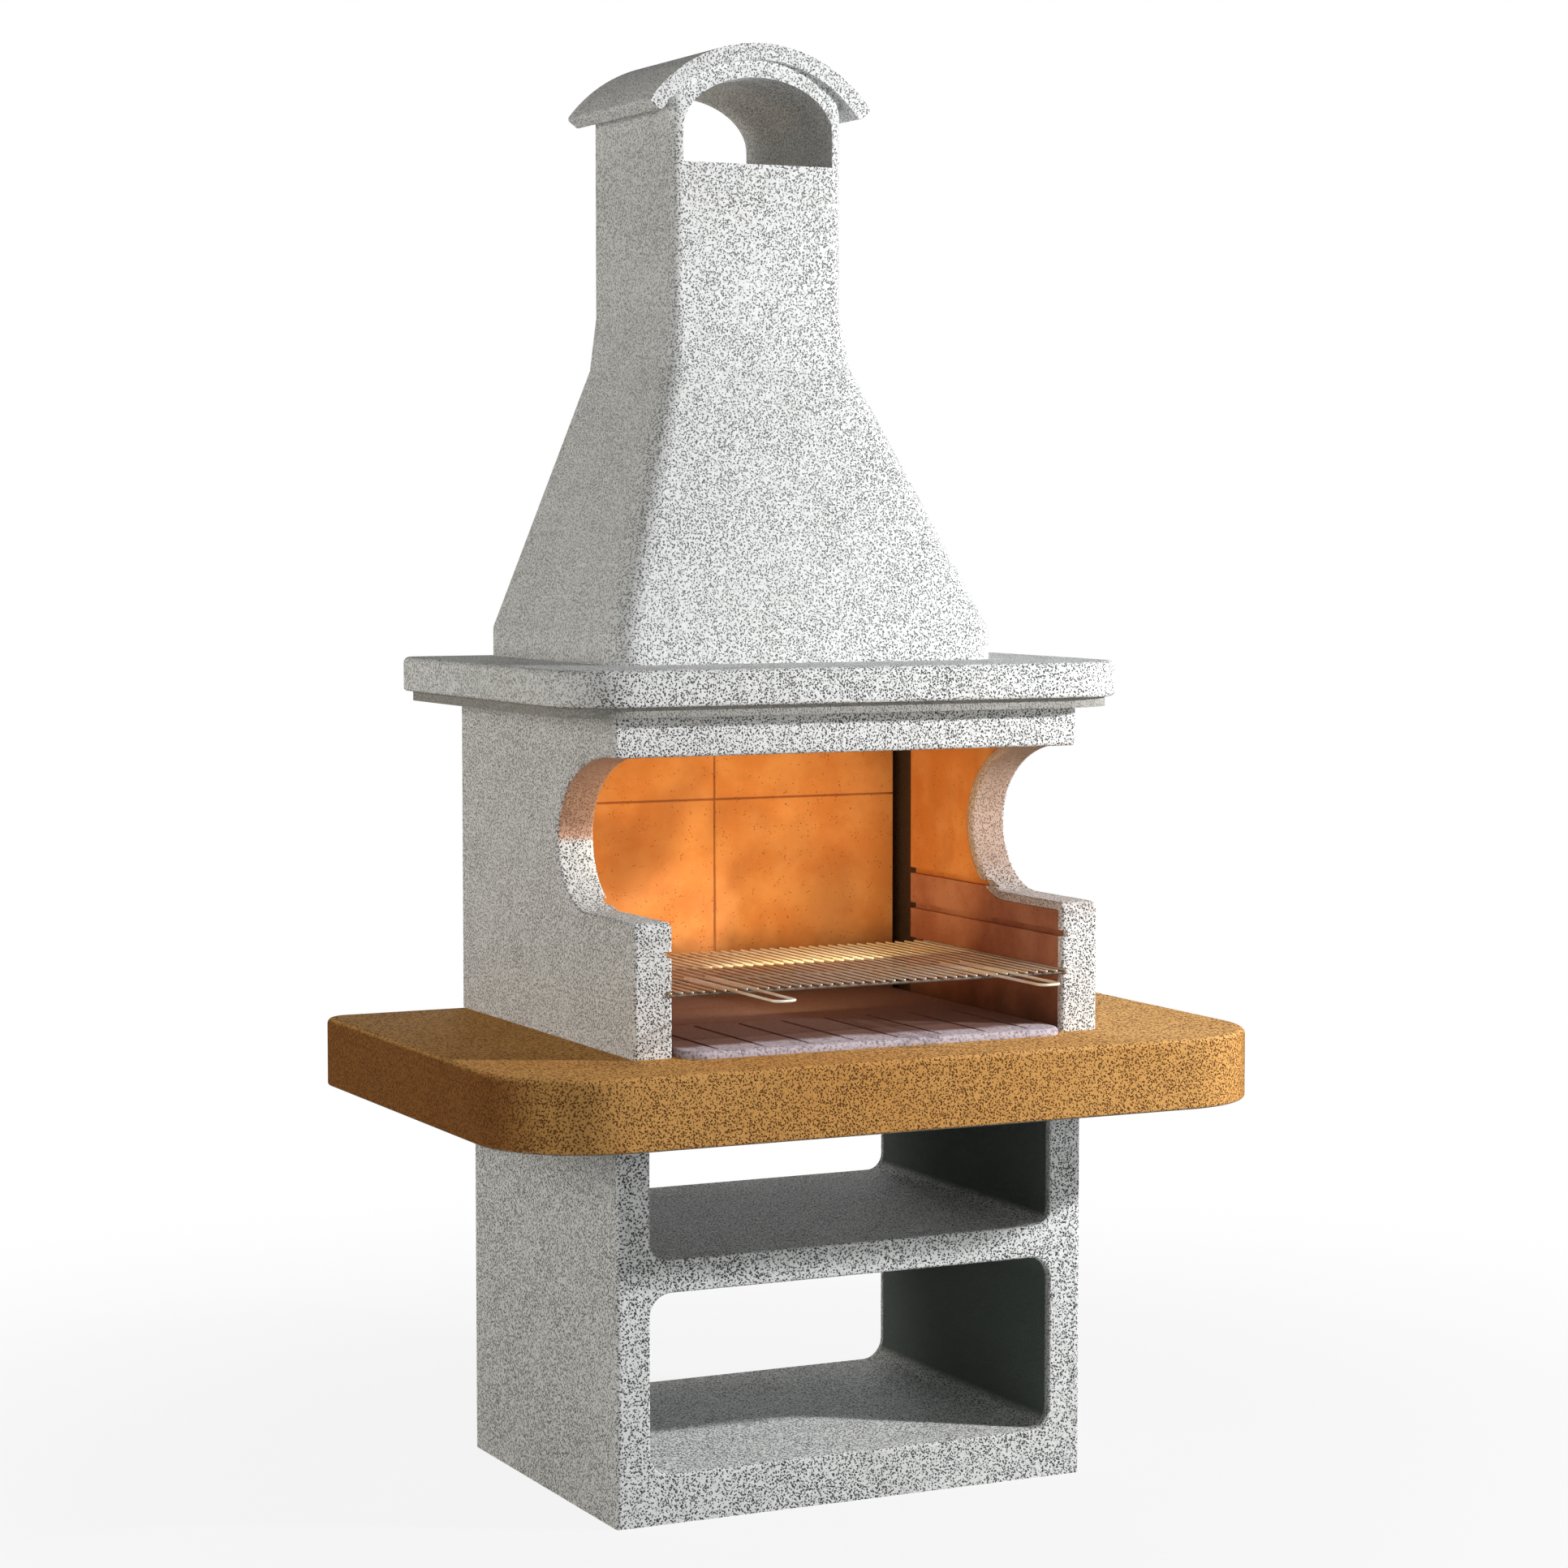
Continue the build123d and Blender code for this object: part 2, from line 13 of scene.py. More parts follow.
import bpy
import numpy as np
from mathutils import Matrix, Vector

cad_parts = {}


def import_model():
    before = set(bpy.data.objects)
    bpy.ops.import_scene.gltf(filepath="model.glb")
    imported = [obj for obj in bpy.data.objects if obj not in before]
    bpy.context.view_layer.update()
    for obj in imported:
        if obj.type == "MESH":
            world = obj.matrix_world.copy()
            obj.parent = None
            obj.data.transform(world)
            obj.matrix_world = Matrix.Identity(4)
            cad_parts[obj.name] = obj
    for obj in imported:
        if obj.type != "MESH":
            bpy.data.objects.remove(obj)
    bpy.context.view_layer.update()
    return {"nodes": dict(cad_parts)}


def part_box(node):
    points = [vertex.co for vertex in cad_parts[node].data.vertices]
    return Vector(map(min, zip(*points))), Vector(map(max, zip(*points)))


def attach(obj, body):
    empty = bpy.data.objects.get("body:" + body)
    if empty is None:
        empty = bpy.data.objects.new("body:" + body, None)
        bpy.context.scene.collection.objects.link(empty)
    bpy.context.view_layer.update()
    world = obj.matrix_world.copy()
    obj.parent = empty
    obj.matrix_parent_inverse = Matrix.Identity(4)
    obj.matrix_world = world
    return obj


LOG = logging.getLogger("barbecue")

Tint = tuple[float, float, float]
Span = tuple[float, float]

EDGE = 0.002
"""Metres over which one surface gives way to the next."""


class Body(Enum):
    """The rigid bodies that pieces ride on."""

    MASONRY = "masonry"
    GRILL = "grill"


def linear(tint: Tint) -> tuple[float, float, float, float]:
    """Turns a tint as seen on a screen into the linear colour that shaders take.

    Args:
        tint: Red, green and blue from 0 to 255.

    Returns:
        Linear red, green, blue and an alpha of one.
    """
    share = np.asarray(tint, dtype=float) / 255.0
    value = np.where(share <= 0.04045, share / 12.92, ((share + 0.055) / 1.055) ** 2.4)
    return (float(value[0]), float(value[1]), float(value[2]), 1.0)


class Recipe:
    """One material's node tree, with short calls for the nodes that the finishes share."""

    def __init__(self, name: str) -> None:
        """Starts an empty tree.

        Args:
            name: The material's name.
        """
        self.material = bpy.data.materials.new(name)
        self.material.use_nodes = True
        self.tree = self.material.node_tree
        self.tree.nodes.clear()
        self.place = self.add("ShaderNodeTexCoord").outputs["Object"]

    def add(self, kind: str, **settings: object) -> bpy.types.Node:
        """Adds a node and sets its own properties.

        Args:
            kind: The node's Blender type.
            **settings: Properties of the node.

        Returns:
            The node.
        """
        node = self.tree.nodes.new(kind)
        for key, value in settings.items():
            setattr(node, key, value)
        return node

    def feed(self, node: bpy.types.Node, **values: object) -> None:
        """Sets or links inputs by name, where an underscore stands for a space.

        Args:
            node: The node whose inputs are filled.
            **values: A number, a colour or another node's output for each input.
        """
        for key, value in values.items():
            socket = node.inputs[key.replace("_", " ")]
            if isinstance(value, bpy.types.NodeSocket):
                self.tree.links.new(value, socket)
            else:
                socket.default_value = value

    def noise(self, pitch: float, detail: float = 2.0, roughness: float = 0.5,
              distortion: float = 0.0) -> bpy.types.NodeSocket:
        """Soft cloudy values about 0.5.

        Args:
            pitch: Metres across one cloud.
            detail: Octaves of finer clouds.
            roughness: Weight of the finer clouds.
            distortion: How far the clouds are drawn out.

        Returns:
            The value socket.
        """
        node = self.add("ShaderNodeTexNoise")
        self.feed(node, Vector=self.place, Scale=1.0 / pitch, Detail=detail,
                  Roughness=roughness, Distortion=distortion)
        return node.outputs["Fac"]

    def cells(self, pitch: float,
              place: bpy.types.NodeSocket | None = None) -> bpy.types.NodeSocket:
        """Distance from the nearest of many scattered points, in cells.

        Args:
            pitch: Metres from point to point.
            place: Coordinates, or None for the piece's own.

        Returns:
            The distance socket.
        """
        node = self.add("ShaderNodeTexVoronoi", feature="F1")
        self.feed(node, Vector=place or self.place, Scale=1.0 / pitch)
        return node.outputs["Distance"]

    def warped(self, pitch: float, reach: float,
               scales: tuple[float, float, float] = (1.0, 1.0, 1.0)) -> bpy.types.NodeSocket:
        """The piece's own coordinates, pushed about by coloured clouds.

        Args:
            pitch: Metres across one cloud.
            reach: Metres from the least push to the most.
            scales: Factor of each coordinate, below 1 to draw a pattern out along it.

        Returns:
            The coordinates' socket.
        """
        clouds = self.add("ShaderNodeTexNoise")
        self.feed(clouds, Vector=self.place, Scale=1.0 / pitch, Detail=1.0)
        push = self.add("ShaderNodeVectorMath", operation="MULTIPLY_ADD")
        self.tree.links.new(clouds.outputs["Color"], push.inputs[0])
        push.inputs[1].default_value = (reach, reach, reach)
        drawn = self.add("ShaderNodeVectorMath", operation="MULTIPLY")
        self.tree.links.new(self.place, drawn.inputs[0])
        drawn.inputs[1].default_value = scales
        self.tree.links.new(drawn.outputs["Vector"], push.inputs[2])
        return push.outputs["Vector"]

    def remap(self, value: object, low: float, high: float, to_low: float = 0.0,
              to_high: float = 1.0) -> bpy.types.NodeSocket:
        """Eases a value from one range to another with flat ends.

        Args:
            value: The value socket.
            low: Where the result starts to rise.
            high: Where it stops.
            to_low: Result at and before low.
            to_high: Result at and past high.

        Returns:
            The eased value's socket.
        """
        node = self.add("ShaderNodeMapRange", interpolation_type="SMOOTHSTEP")
        self.feed(node, Value=value, From_Min=low, From_Max=high, To_Min=to_low, To_Max=to_high)
        return node.outputs["Result"]

    def within(self, value: object, low: float, high: float,
               edge: float = 0.004) -> bpy.types.NodeSocket:
        """One between two limits and nought outside them.

        Args:
            value: The value socket.
            low: Lower limit.
            high: Upper limit.
            edge: Over how much it eases at each limit.

        Returns:
            The share's socket.
        """
        return self.math("MULTIPLY", self.remap(value, low - edge, low + edge),
                         self.remap(value, high - edge, high + edge, 1.0, 0.0))

    def math(self, operation: str, first: object, second: object = 0.0) -> bpy.types.NodeSocket:
        """One arithmetic step.

        Args:
            operation: Blender's name for it.
            first: First value or socket.
            second: Second value or socket.

        Returns:
            The result's socket.
        """
        node = self.add("ShaderNodeMath", operation=operation)
        for socket, value in zip(node.inputs, (first, second)):
            if isinstance(value, bpy.types.NodeSocket):
                self.tree.links.new(value, socket)
            else:
                socket.default_value = value
        return node.outputs[0]

    def axis(self, letter: str) -> bpy.types.NodeSocket:
        """One of the piece's own coordinates, in metres.

        Args:
            letter: X, Y or Z.

        Returns:
            The coordinate's socket.
        """
        node = self.add("ShaderNodeSeparateXYZ")
        self.feed(node, Vector=self.place)
        return node.outputs[letter]

    def facing(self, letter: str) -> bpy.types.NodeSocket:
        """How far the surface faces along one axis, from -1 to 1.

        Args:
            letter: X, Y or Z.

        Returns:
            The share's socket.
        """
        node = self.add("ShaderNodeSeparateXYZ")
        self.feed(node, Vector=self.add("ShaderNodeNewGeometry").outputs["Normal"])
        return node.outputs[letter]

    def blend(self, share: object, first: object, second: object,
              mode: str = "MIX") -> bpy.types.NodeSocket:
        """Mixes two colours.

        Args:
            share: Value or socket from 0, all first, to 1, all second.
            first: Linear colour or socket.
            second: Linear colour or socket.
            mode: Blender's name for how they mix.

        Returns:
            The colour's socket.
        """
        node = self.add("ShaderNodeMix", data_type="RGBA", blend_type=mode)
        for index, value in ((0, share), (6, first), (7, second)):
            if isinstance(value, bpy.types.NodeSocket):
                self.tree.links.new(value, node.inputs[index])
            else:
                node.inputs[index].default_value = value
        return node.outputs[2]

    def relief(self, height: bpy.types.NodeSocket, depth: float,
               normal: bpy.types.NodeSocket | None = None) -> bpy.types.NodeSocket:
        """Raises a height into the surface's normal.

        Args:
            height: Socket from 0 to 1.
            depth: Metres from 0 to 1.
            normal: A coarser relief to add it to.

        Returns:
            The normal's socket.
        """
        node = self.add("ShaderNodeBump")
        self.feed(node, Height=height, Distance=depth)
        if normal is not None:
            self.feed(node, Normal=normal)
        return node.outputs["Normal"]

    def finish(self, **values: object) -> bpy.types.Material:
        """Closes the tree with the surface shader.

        Args:
            **values: Inputs of the shader.

        Returns:
            The material.
        """
        shader = self.add("ShaderNodeBsdfPrincipled")
        self.feed(shader, **values)
        output = self.add("ShaderNodeOutputMaterial")
        self.tree.links.new(shader.outputs[0], output.inputs["Surface"])
        return self.material


@dataclass(frozen=True)
class SprayedRender:
    """Cement render thrown on with a spray gun: many small pits in a pale crust, darkened with
    painted shade.

    Attributes:
        name: The material's name.
        ridge: Tint of the crust between the pits.
        pit: Tint of the pits, painted shade in them.
        stain: Tint that the broad stains multiply the colour by.
        pitch: Metres from pit to pit.
        pit_size: A pit's reach, in pitches.
        pit_inside: How far within its reach a pit has its full tint, in pitches.
        pit_outside: How far past its reach the crust has its full tint, in pitches.
        depth: Metres from the crust down to a pit.
        patch_pitch: Metres across a patch of larger or smaller pits.
        patch_reach: How much a patch changes their reach, in pitches.
        warp_pitch: Metres across one of the clouds that push the pits out of round.
        warp_reach: Metres that they push.
        stain_pitch: Metres across a broad stain.
        stain_share: Most that a stain shows.
        speck_pitch: Metres across a speck of dirt.
        speck_share: Most that a speck shows.
        wave_pitch: Metres across a wave of the trowelled ground.
        wave_depth: Height of a wave in metres.
        flank_pit: Tint of the pits on faces towards -X, a lighter painted shade where that side
            gets only soft light.
        top_pitch: Metres from pit to pit on level tops, or None for the same as elsewhere.
        top_stretch: Scale of the tops' pattern along each axis, less than 1 where drawn out.
        top_warp: Pitch and reach in metres of the push on the tops' pits.
        top_pit: Tint of the painted shade in the pits on level tops, or None for the same as
            elsewhere.
        painted_light_top: Tint of painted light on level tops towards +X, where the lamp lights
            them, or None.
        painted_light_x: Places in metres between which the tops take it.
        painted_light_share: Most that it shows.
        painted_shade_ends: Tint of painted shade on the faces towards either end, or None.
        bare_and_shade: Tint of unrendered cement, darkened where it also stands in for painted
            shade.
        bare_and_shade_below: Height in metres below which the cement is unrendered, or None.
        bare_and_shaded_inside: Whether the walls between two castings' mouths are unrendered and
            darkened with painted shade.
        inside_x: Distance in metres of those walls from the middle.
        inside_y: Where they start and stop, in metres.
        soot_and_shade: Tint of sooting and painted shade in a recess by the fire.
        sooted_and_shaded_y: Where that recess lies, in metres, or None.
        sooted_and_shaded_to_x: Distance in metres from the middle up to which it reaches.
        scorch_and_shade: Tint of a scooped edge's scorching and the painted shade on it, warm as
            if lit by the fire.
        scorched_and_shaded_z: Heights in metres between which that tint sets in, or None.
        scorch_and_shade_fades_y: Places in metres between which it ends towards the back.
        scorch_and_shade_fades_x: Distances in metres from the middle between which it ends
            outwards.
        scorch_and_shade_share: Most that it shows.
        gloss: Strength of the reflection.
    """

    name: str
    ridge: Tint
    pit: Tint
    stain: Tint
    pitch: float = 0.0040
    pit_size: float = 0.41
    pit_inside: float = 0.14
    pit_outside: float = 0.08
    depth: float = 0.0022
    patch_pitch: float = 0.11
    patch_reach: float = 0.018
    warp_pitch: float = 0.0035
    warp_reach: float = 0.004
    stain_pitch: float = 0.42
    stain_share: float = 0.24
    speck_pitch: float = 0.013
    speck_share: float = 0.14
    wave_pitch: float = 0.05
    wave_depth: float = 0.0030
    flank_pit: Tint = (196, 194, 189)
    top_pitch: float | None = None
    top_stretch: tuple[float, float, float] = (1.0, 0.7, 1.0)
    top_warp: Span = (0.0040, 0.005)
    top_pit: Tint | None = None
    painted_light_top: Tint | None = None
    painted_light_x: Span = (-0.5, 0.25)
    painted_light_share: float = 0.6
    painted_shade_ends: Tint | None = None
    bare_and_shade: Tint = (150, 148, 143)
    bare_and_shade_below: float | None = None
    bare_and_shaded_inside: bool = False
    inside_x: float = 0.4125
    inside_y: Span = (-0.262, 0.400)
    soot_and_shade: Tint = (88, 62, 46)
    sooted_and_shaded_y: Span | None = None
    sooted_and_shaded_to_x: float = 0.43
    scorch_and_shade: Tint = (216, 162, 132)
    scorched_and_shaded_z: Span | None = None
    scorch_and_shade_fades_y: Span = (0.08, 0.12)
    scorch_and_shade_fades_x: Span = (0.464, 0.470)
    scorch_and_shade_share: float = 0.85
    gloss: float = 0.25

    def build(self) -> bpy.types.Material:
        """Builds the pitted crust with its stains and specks, then the marks of its place.

        Returns:
            The material.
        """
        mix = Recipe(self.name)
        crust = self.crust(mix)
        hollow = mix.remap(crust, self.pit_size - self.pit_inside,
                           self.pit_size + self.pit_outside)
        pit = self.pit_colour(mix)
        # Painted shade: the pits take a darker tint than the crust, mostly lighter on the softly
        # lit -X faces.
        colour = mix.blend(hollow, pit, self.ridge_colour(mix))
        broad = mix.remap(mix.noise(self.stain_pitch, detail=3.0, roughness=0.6), 0.42, 0.72,
                          0.0, self.stain_share)
        colour = mix.blend(broad, colour, linear(self.stain), mode="MULTIPLY")
        speck = mix.remap(mix.noise(self.speck_pitch), 0.56, 0.72, 0.0, self.speck_share)
        colour = mix.blend(speck, colour, pit)
        for mark in (self.bare_and_shaded_foot, self.bare_and_shaded_walls, self.sooted_and_shaded_recess, self.scorched_and_shaded_edge):
            colour = mark(mix, colour)
        ridges = mix.remap(crust, 0.10, self.pit_size + self.pit_inside)
        waves = mix.relief(mix.noise(self.wave_pitch), self.wave_depth)
        return mix.finish(
            Base_Color=colour,
            Roughness=0.93,
            Specular_IOR_Level=self.gloss,
            Normal=mix.relief(ridges, self.depth, normal=waves),
        )

    def crust(self, mix: Recipe) -> bpy.types.NodeSocket:
        """Distance from the nearest pit, in pitches, a little less or more in some patches.

        Args:
            mix: The material's tree.

        Returns:
            The distance socket.
        """
        grains = mix.cells(self.pitch, mix.warped(self.warp_pitch, self.warp_reach))
        if self.top_pitch is not None:
            lumps = mix.cells(self.top_pitch, mix.warped(*self.top_warp, self.top_stretch))
            coarser = mix.math("MULTIPLY", self.level(mix), mix.math("SUBTRACT", lumps, grains))
            grains = mix.math("ADD", grains, coarser)
        patch = mix.remap(mix.noise(self.patch_pitch, roughness=0.6), 0.35, 0.68,
                          -self.patch_reach, self.patch_reach)
        return mix.math("ADD", grains, patch)

    def level(self, mix: Recipe) -> bpy.types.NodeSocket:
        """One on a level top and nought on a wall."""
        return mix.remap(mix.facing("Z"), 0.60, 0.98)

    def ridge_colour(self, mix: Recipe) -> object:
        """The crust's colour, with painted light on level tops and painted shade on the faces
        towards either end.

        Args:
            mix: The material's tree.

        Returns:
            The colour or its socket.
        """
        ridge = linear(self.ridge)
        # Painted light: level tops grow paler towards +X, where the lamp lights them.
        if self.painted_light_top is not None:
            lit_side = mix.remap(mix.axis("X"), *self.painted_light_x, 0.0, self.painted_light_share)
            upward = mix.remap(mix.facing("Z"), 0.35, 0.95)
            ridge = mix.blend(mix.math("MULTIPLY", lit_side, upward), ridge, linear(self.painted_light_top))
        # Painted shade: the faces towards either end take a darker, browner tint.
        if self.painted_shade_ends is not None:
            end = mix.remap(mix.math("ABSOLUTE", mix.facing("X")), 0.60, 0.99)
            ridge = mix.blend(end, ridge, linear(self.painted_shade_ends))
        return ridge

    def pit_colour(self, mix: Recipe) -> bpy.types.NodeSocket:
        """The pits' painted shade, mostly lighter on faces towards -X, which get only soft
        light, and another on level tops.

        Args:
            mix: The material's tree.

        Returns:
            The colour's socket.
        """
        flank = mix.remap(mix.facing("X"), -0.9, -0.35, 1.0, 0.0)
        pit = mix.blend(flank, linear(self.pit), linear(self.flank_pit))
        if self.top_pit is not None:
            pit = mix.blend(self.level(mix), pit, linear(self.top_pit))
        return pit

    def bare_and_shaded_foot(self, mix: Recipe, colour: bpy.types.NodeSocket) -> bpy.types.NodeSocket:
        """Gives the cement below a height the unrendered tint, on the cornice's step also
        painted shade under its band.

        Args:
            mix: The material's tree.
            colour: The colour so far.

        Returns:
            The colour's socket.
        """
        if self.bare_and_shade_below is None:
            return colour
        under = mix.remap(mix.axis("Z"), self.bare_and_shade_below, self.bare_and_shade_below + EDGE, 1.0, 0.0)
        # Where the unrendered tint is darker than the render, as on the cornice's step, it is
        # partly painted shade.
        return mix.blend(under, colour, linear(self.bare_and_shade))

    def bare_and_shaded_walls(self, mix: Recipe, colour: bpy.types.NodeSocket) -> bpy.types.NodeSocket:
        """Gives a casting's inner walls and ceilings, not its floors, the dark unrendered tint,
        partly painted shade.

        Args:
            mix: The material's tree.
            colour: The colour so far.

        Returns:
            The colour's socket.
        """
        if not self.bare_and_shaded_inside:
            return colour
        deep = mix.within(mix.axis("Y"), *self.inside_y)
        walls = mix.remap(mix.math("ABSOLUTE", mix.axis("X")), self.inside_x,
                          self.inside_x + EDGE, 1.0, 0.0)
        walls = mix.math("MULTIPLY", walls, mix.remap(mix.facing("Z"), 0.3, 0.8, 1.0, 0.0))
        # Painted shade in part: the inner walls and ceilings take a dark, greenish unrendered
        # tint.
        return mix.blend(mix.math("MULTIPLY", deep, walls), colour, linear(self.bare_and_shade))

    def sooted_and_shaded_recess(self, mix: Recipe, colour: bpy.types.NodeSocket) -> bpy.types.NodeSocket:
        """Darkens a recess by the fire with sooting and painted shade.

        Args:
            mix: The material's tree.
            colour: The colour so far.

        Returns:
            The colour's socket.
        """
        if self.sooted_and_shaded_y is None:
            return colour
        # Sooting and painted shade darken the recess between the side lining and the back tiles.
        recess = mix.within(mix.axis("Y"), *self.sooted_and_shaded_y)
        inner = mix.remap(mix.math("ABSOLUTE", mix.axis("X")), self.sooted_and_shaded_to_x - EDGE,
                          self.sooted_and_shaded_to_x + EDGE, 1.0, 0.0)
        return mix.blend(mix.math("MULTIPLY", recess, inner), colour, linear(self.soot_and_shade))

    def scorched_and_shaded_edge(self, mix: Recipe, colour: bpy.types.NodeSocket) -> bpy.types.NodeSocket:
        """Gives a scooped edge above a height a warm tint for scorching and painted shade, and
        leaves the outer face as it is.

        Args:
            mix: The material's tree.
            colour: The colour so far.

        Returns:
            The colour's socket.
        """
        if self.scorched_and_shaded_z is None:
            return colour
        # Scorching and painted shade: above a height the scooped edge takes a warm, darker tint
        # where the beam's shadow falls.
        above = mix.remap(mix.axis("Z"), *self.scorched_and_shaded_z)
        near = mix.remap(mix.math("ABSOLUTE", mix.axis("X")), *self.scorch_and_shade_fades_x,
                         self.scorch_and_shade_share, 0.0)
        before = mix.remap(mix.axis("Y"), *self.scorch_and_shade_fades_y, 1.0, 0.0)
        scorched_and_shaded = mix.math("MULTIPLY", mix.math("MULTIPLY", above, near), before)
        return mix.blend(scorched_and_shaded, colour, linear(self.scorch_and_shade))


@dataclass(frozen=True)
class RefractoryClay:
    """Pressed refractory panel: sandy clay, cloudy from the fire, with small dark pores.

    Attributes:
        name: The material's name.
        clay: Tint of the clay.
        pale: Tint of its paler clouds.
        burnt: Tint of smoked clouds and of the pores.
        cloud_pitch: Metres across a pale cloud.
        smoke_pitch: Metres across a smoked cloud.
        smoke_share: Most that a smoked cloud shows.
        pore_pitch: Metres from pore to pore.
        pore_depth: Depth of a pore in metres.
        bare_pitch: Metres across a patch without pores.
        sand_pitch: Metres across a grain of sand.
        sand_depth: Height of a grain in metres.
        soot_and_shade: Tint of the panel's foot, darkened with sooting and painted shade.
        sooted_and_shaded_to_z: Height in metres about which that dark foot ends, or None.
        soot_and_shade_fades: How far below and above that height it fades, in metres.
        soot_and_shade_share: Most that it shows.
        waver_pitch: Metres across a wave of the dark foot's upper border.
        waver: Height of such a wave in metres.
    """

    name: str
    clay: Tint
    pale: Tint
    burnt: Tint
    cloud_pitch: float = 0.11
    smoke_pitch: float = 0.23
    smoke_share: float = 0.55
    pore_pitch: float = 0.0064
    pore_depth: float = 0.0008
    bare_pitch: float = 0.018
    sand_pitch: float = 0.0035
    sand_depth: float = 0.0006
    soot_and_shade: Tint = (74, 46, 34)
    sooted_and_shaded_to_z: float | None = None
    soot_and_shade_fades: Span = (0.05, 0.06)
    soot_and_shade_share: float = 0.85
    waver_pitch: float = 0.06
    waver: float = 0.06

    def build(self) -> bpy.types.Material:
        """Builds the clay from clouds of two tints, smoke, pores, and a fine sandy relief.

        Returns:
            The material.
        """
        mix = Recipe(self.name)
        cloud = mix.remap(mix.noise(self.cloud_pitch, detail=4.0, roughness=0.6), 0.34, 0.70)
        colour = mix.blend(cloud, linear(self.clay), linear(self.pale))
        smoke = mix.remap(mix.noise(self.smoke_pitch, detail=3.0, distortion=0.4), 0.48, 0.78,
                          0.0, self.smoke_share)
        colour = mix.blend(smoke, colour, linear(self.burnt))
        pores = mix.remap(mix.cells(self.pore_pitch), 0.10, 0.26)
        rarely = mix.remap(mix.noise(self.bare_pitch, detail=1.0), 0.38, 0.50, 1.0, 0.0)
        open_pores = mix.math("MAXIMUM", pores, mix.math("SUBTRACT", 1.0, rarely))
        colour = mix.blend(open_pores, linear(self.burnt), colour)
        # Sooting and painted shade: the panel darkens towards its foot, by the embers and under
        # the grill.
        if self.sooted_and_shaded_to_z is not None:
            height = mix.math("ADD", mix.axis("Z"),
                              mix.math("MULTIPLY", mix.noise(self.waver_pitch), self.waver))
            foot = mix.remap(height, self.sooted_and_shaded_to_z - self.soot_and_shade_fades[0],
                             self.sooted_and_shaded_to_z + self.soot_and_shade_fades[1], self.soot_and_shade_share, 0.0)
            colour = mix.blend(foot, colour, linear(self.soot_and_shade))
        sand = mix.noise(self.sand_pitch)
        fine = mix.relief(sand, self.sand_depth)
        return mix.finish(
            Base_Color=colour,
            Roughness=mix.remap(sand, 0.3, 0.7, 0.80, 0.92),
            Specular_IOR_Level=0.3,
            Normal=mix.relief(open_pores, self.pore_depth, normal=fine),
        )


@dataclass(frozen=True)
class HearthCement:
    """Pale refractory cement, lit along its front and darkened behind with a painted shadow.

    Attributes:
        name: The material's name.
        unshaded_cement: Tint of the cement outside the painted shadow.
        pit: Tint of its pits.
        painted_shadow: Tint of the cement in painted shadow.
        shadow_y: Places in metres between which the painted shadow sets in.
        shadow_share: Most that it shows.
        waver_pitch: Metres across a wave of its border.
        waver: Metres from the least of the border's waves to the most.
        grit_pitch: Metres across a grain.
        grit_depth: Height of a grain in metres.
    """

    name: str
    unshaded_cement: Tint
    pit: Tint
    painted_shadow: Tint
    shadow_y: Span = (-0.325, -0.285)
    shadow_share: float = 0.94
    waver_pitch: float = 0.09
    waver: float = 0.07
    grit_pitch: float = 0.006
    grit_depth: float = 0.0014

    def build(self) -> bpy.types.Material:
        """Builds the cement from pitted clouds, with a painted shadow behind a wavy border.

        Returns:
            The material.
        """
        mix = Recipe(self.name)
        grit = mix.noise(self.grit_pitch, detail=3.0, roughness=0.65)
        colour = mix.blend(mix.remap(grit, 0.34, 0.55), linear(self.pit), linear(self.unshaded_cement))
        border = mix.math("ADD", mix.axis("Y"),
                          mix.math("MULTIPLY", mix.noise(self.waver_pitch), self.waver))
        start, stop = (place + self.waver / 2.0 for place in self.shadow_y)
        # Painted shadow: behind a wavy border the cement takes a dark brown tint.
        fire = mix.remap(border, start, stop, 0.0, self.shadow_share)
        colour = mix.blend(fire, colour, linear(self.painted_shadow))
        return mix.finish(
            Base_Color=colour,
            Roughness=0.9,
            Specular_IOR_Level=0.25,
            Normal=mix.relief(grit, self.grit_depth),
        )


@dataclass(frozen=True)
class ChromedWire:
    """Chromed steel wire, faintly warmed by heat and scuffed along its length.

    Attributes:
        name: The material's name.
        bright: Tint of the wire where no heat has warmed it; when near white, it is painted
            reflection of the chrome.
        warmed: Tint where the heat has warmed it.
        heat_pitch: Metres across a warmed stretch.
        scuff_pitch: Metres across a scuff.
        scuff_depth: Depth of a scuff in metres.
    """

    name: str
    bright: Tint
    warmed: Tint
    heat_pitch: float = 0.12
    scuff_pitch: float = 0.0016
    scuff_depth: float = 0.00008

    def build(self) -> bpy.types.Material:
        """Builds the wire from two tints and a fine scuffed relief.

        Returns:
            The material.
        """
        mix = Recipe(self.name)
        heat = mix.remap(mix.noise(self.heat_pitch), 0.38, 0.66)
        colour = mix.blend(heat, linear(self.bright), linear(self.warmed))
        scuff = mix.noise(self.scuff_pitch)
        # With little metal the wire's own tint carries its look; the chromed wire's near-white
        # tint is painted reflection.
        return mix.finish(
            Base_Color=colour,
            Metallic=0.2,
            Roughness=mix.remap(scuff, 0.3, 0.7, 0.30, 0.48),
            Normal=mix.relief(scuff, self.scuff_depth),
        )


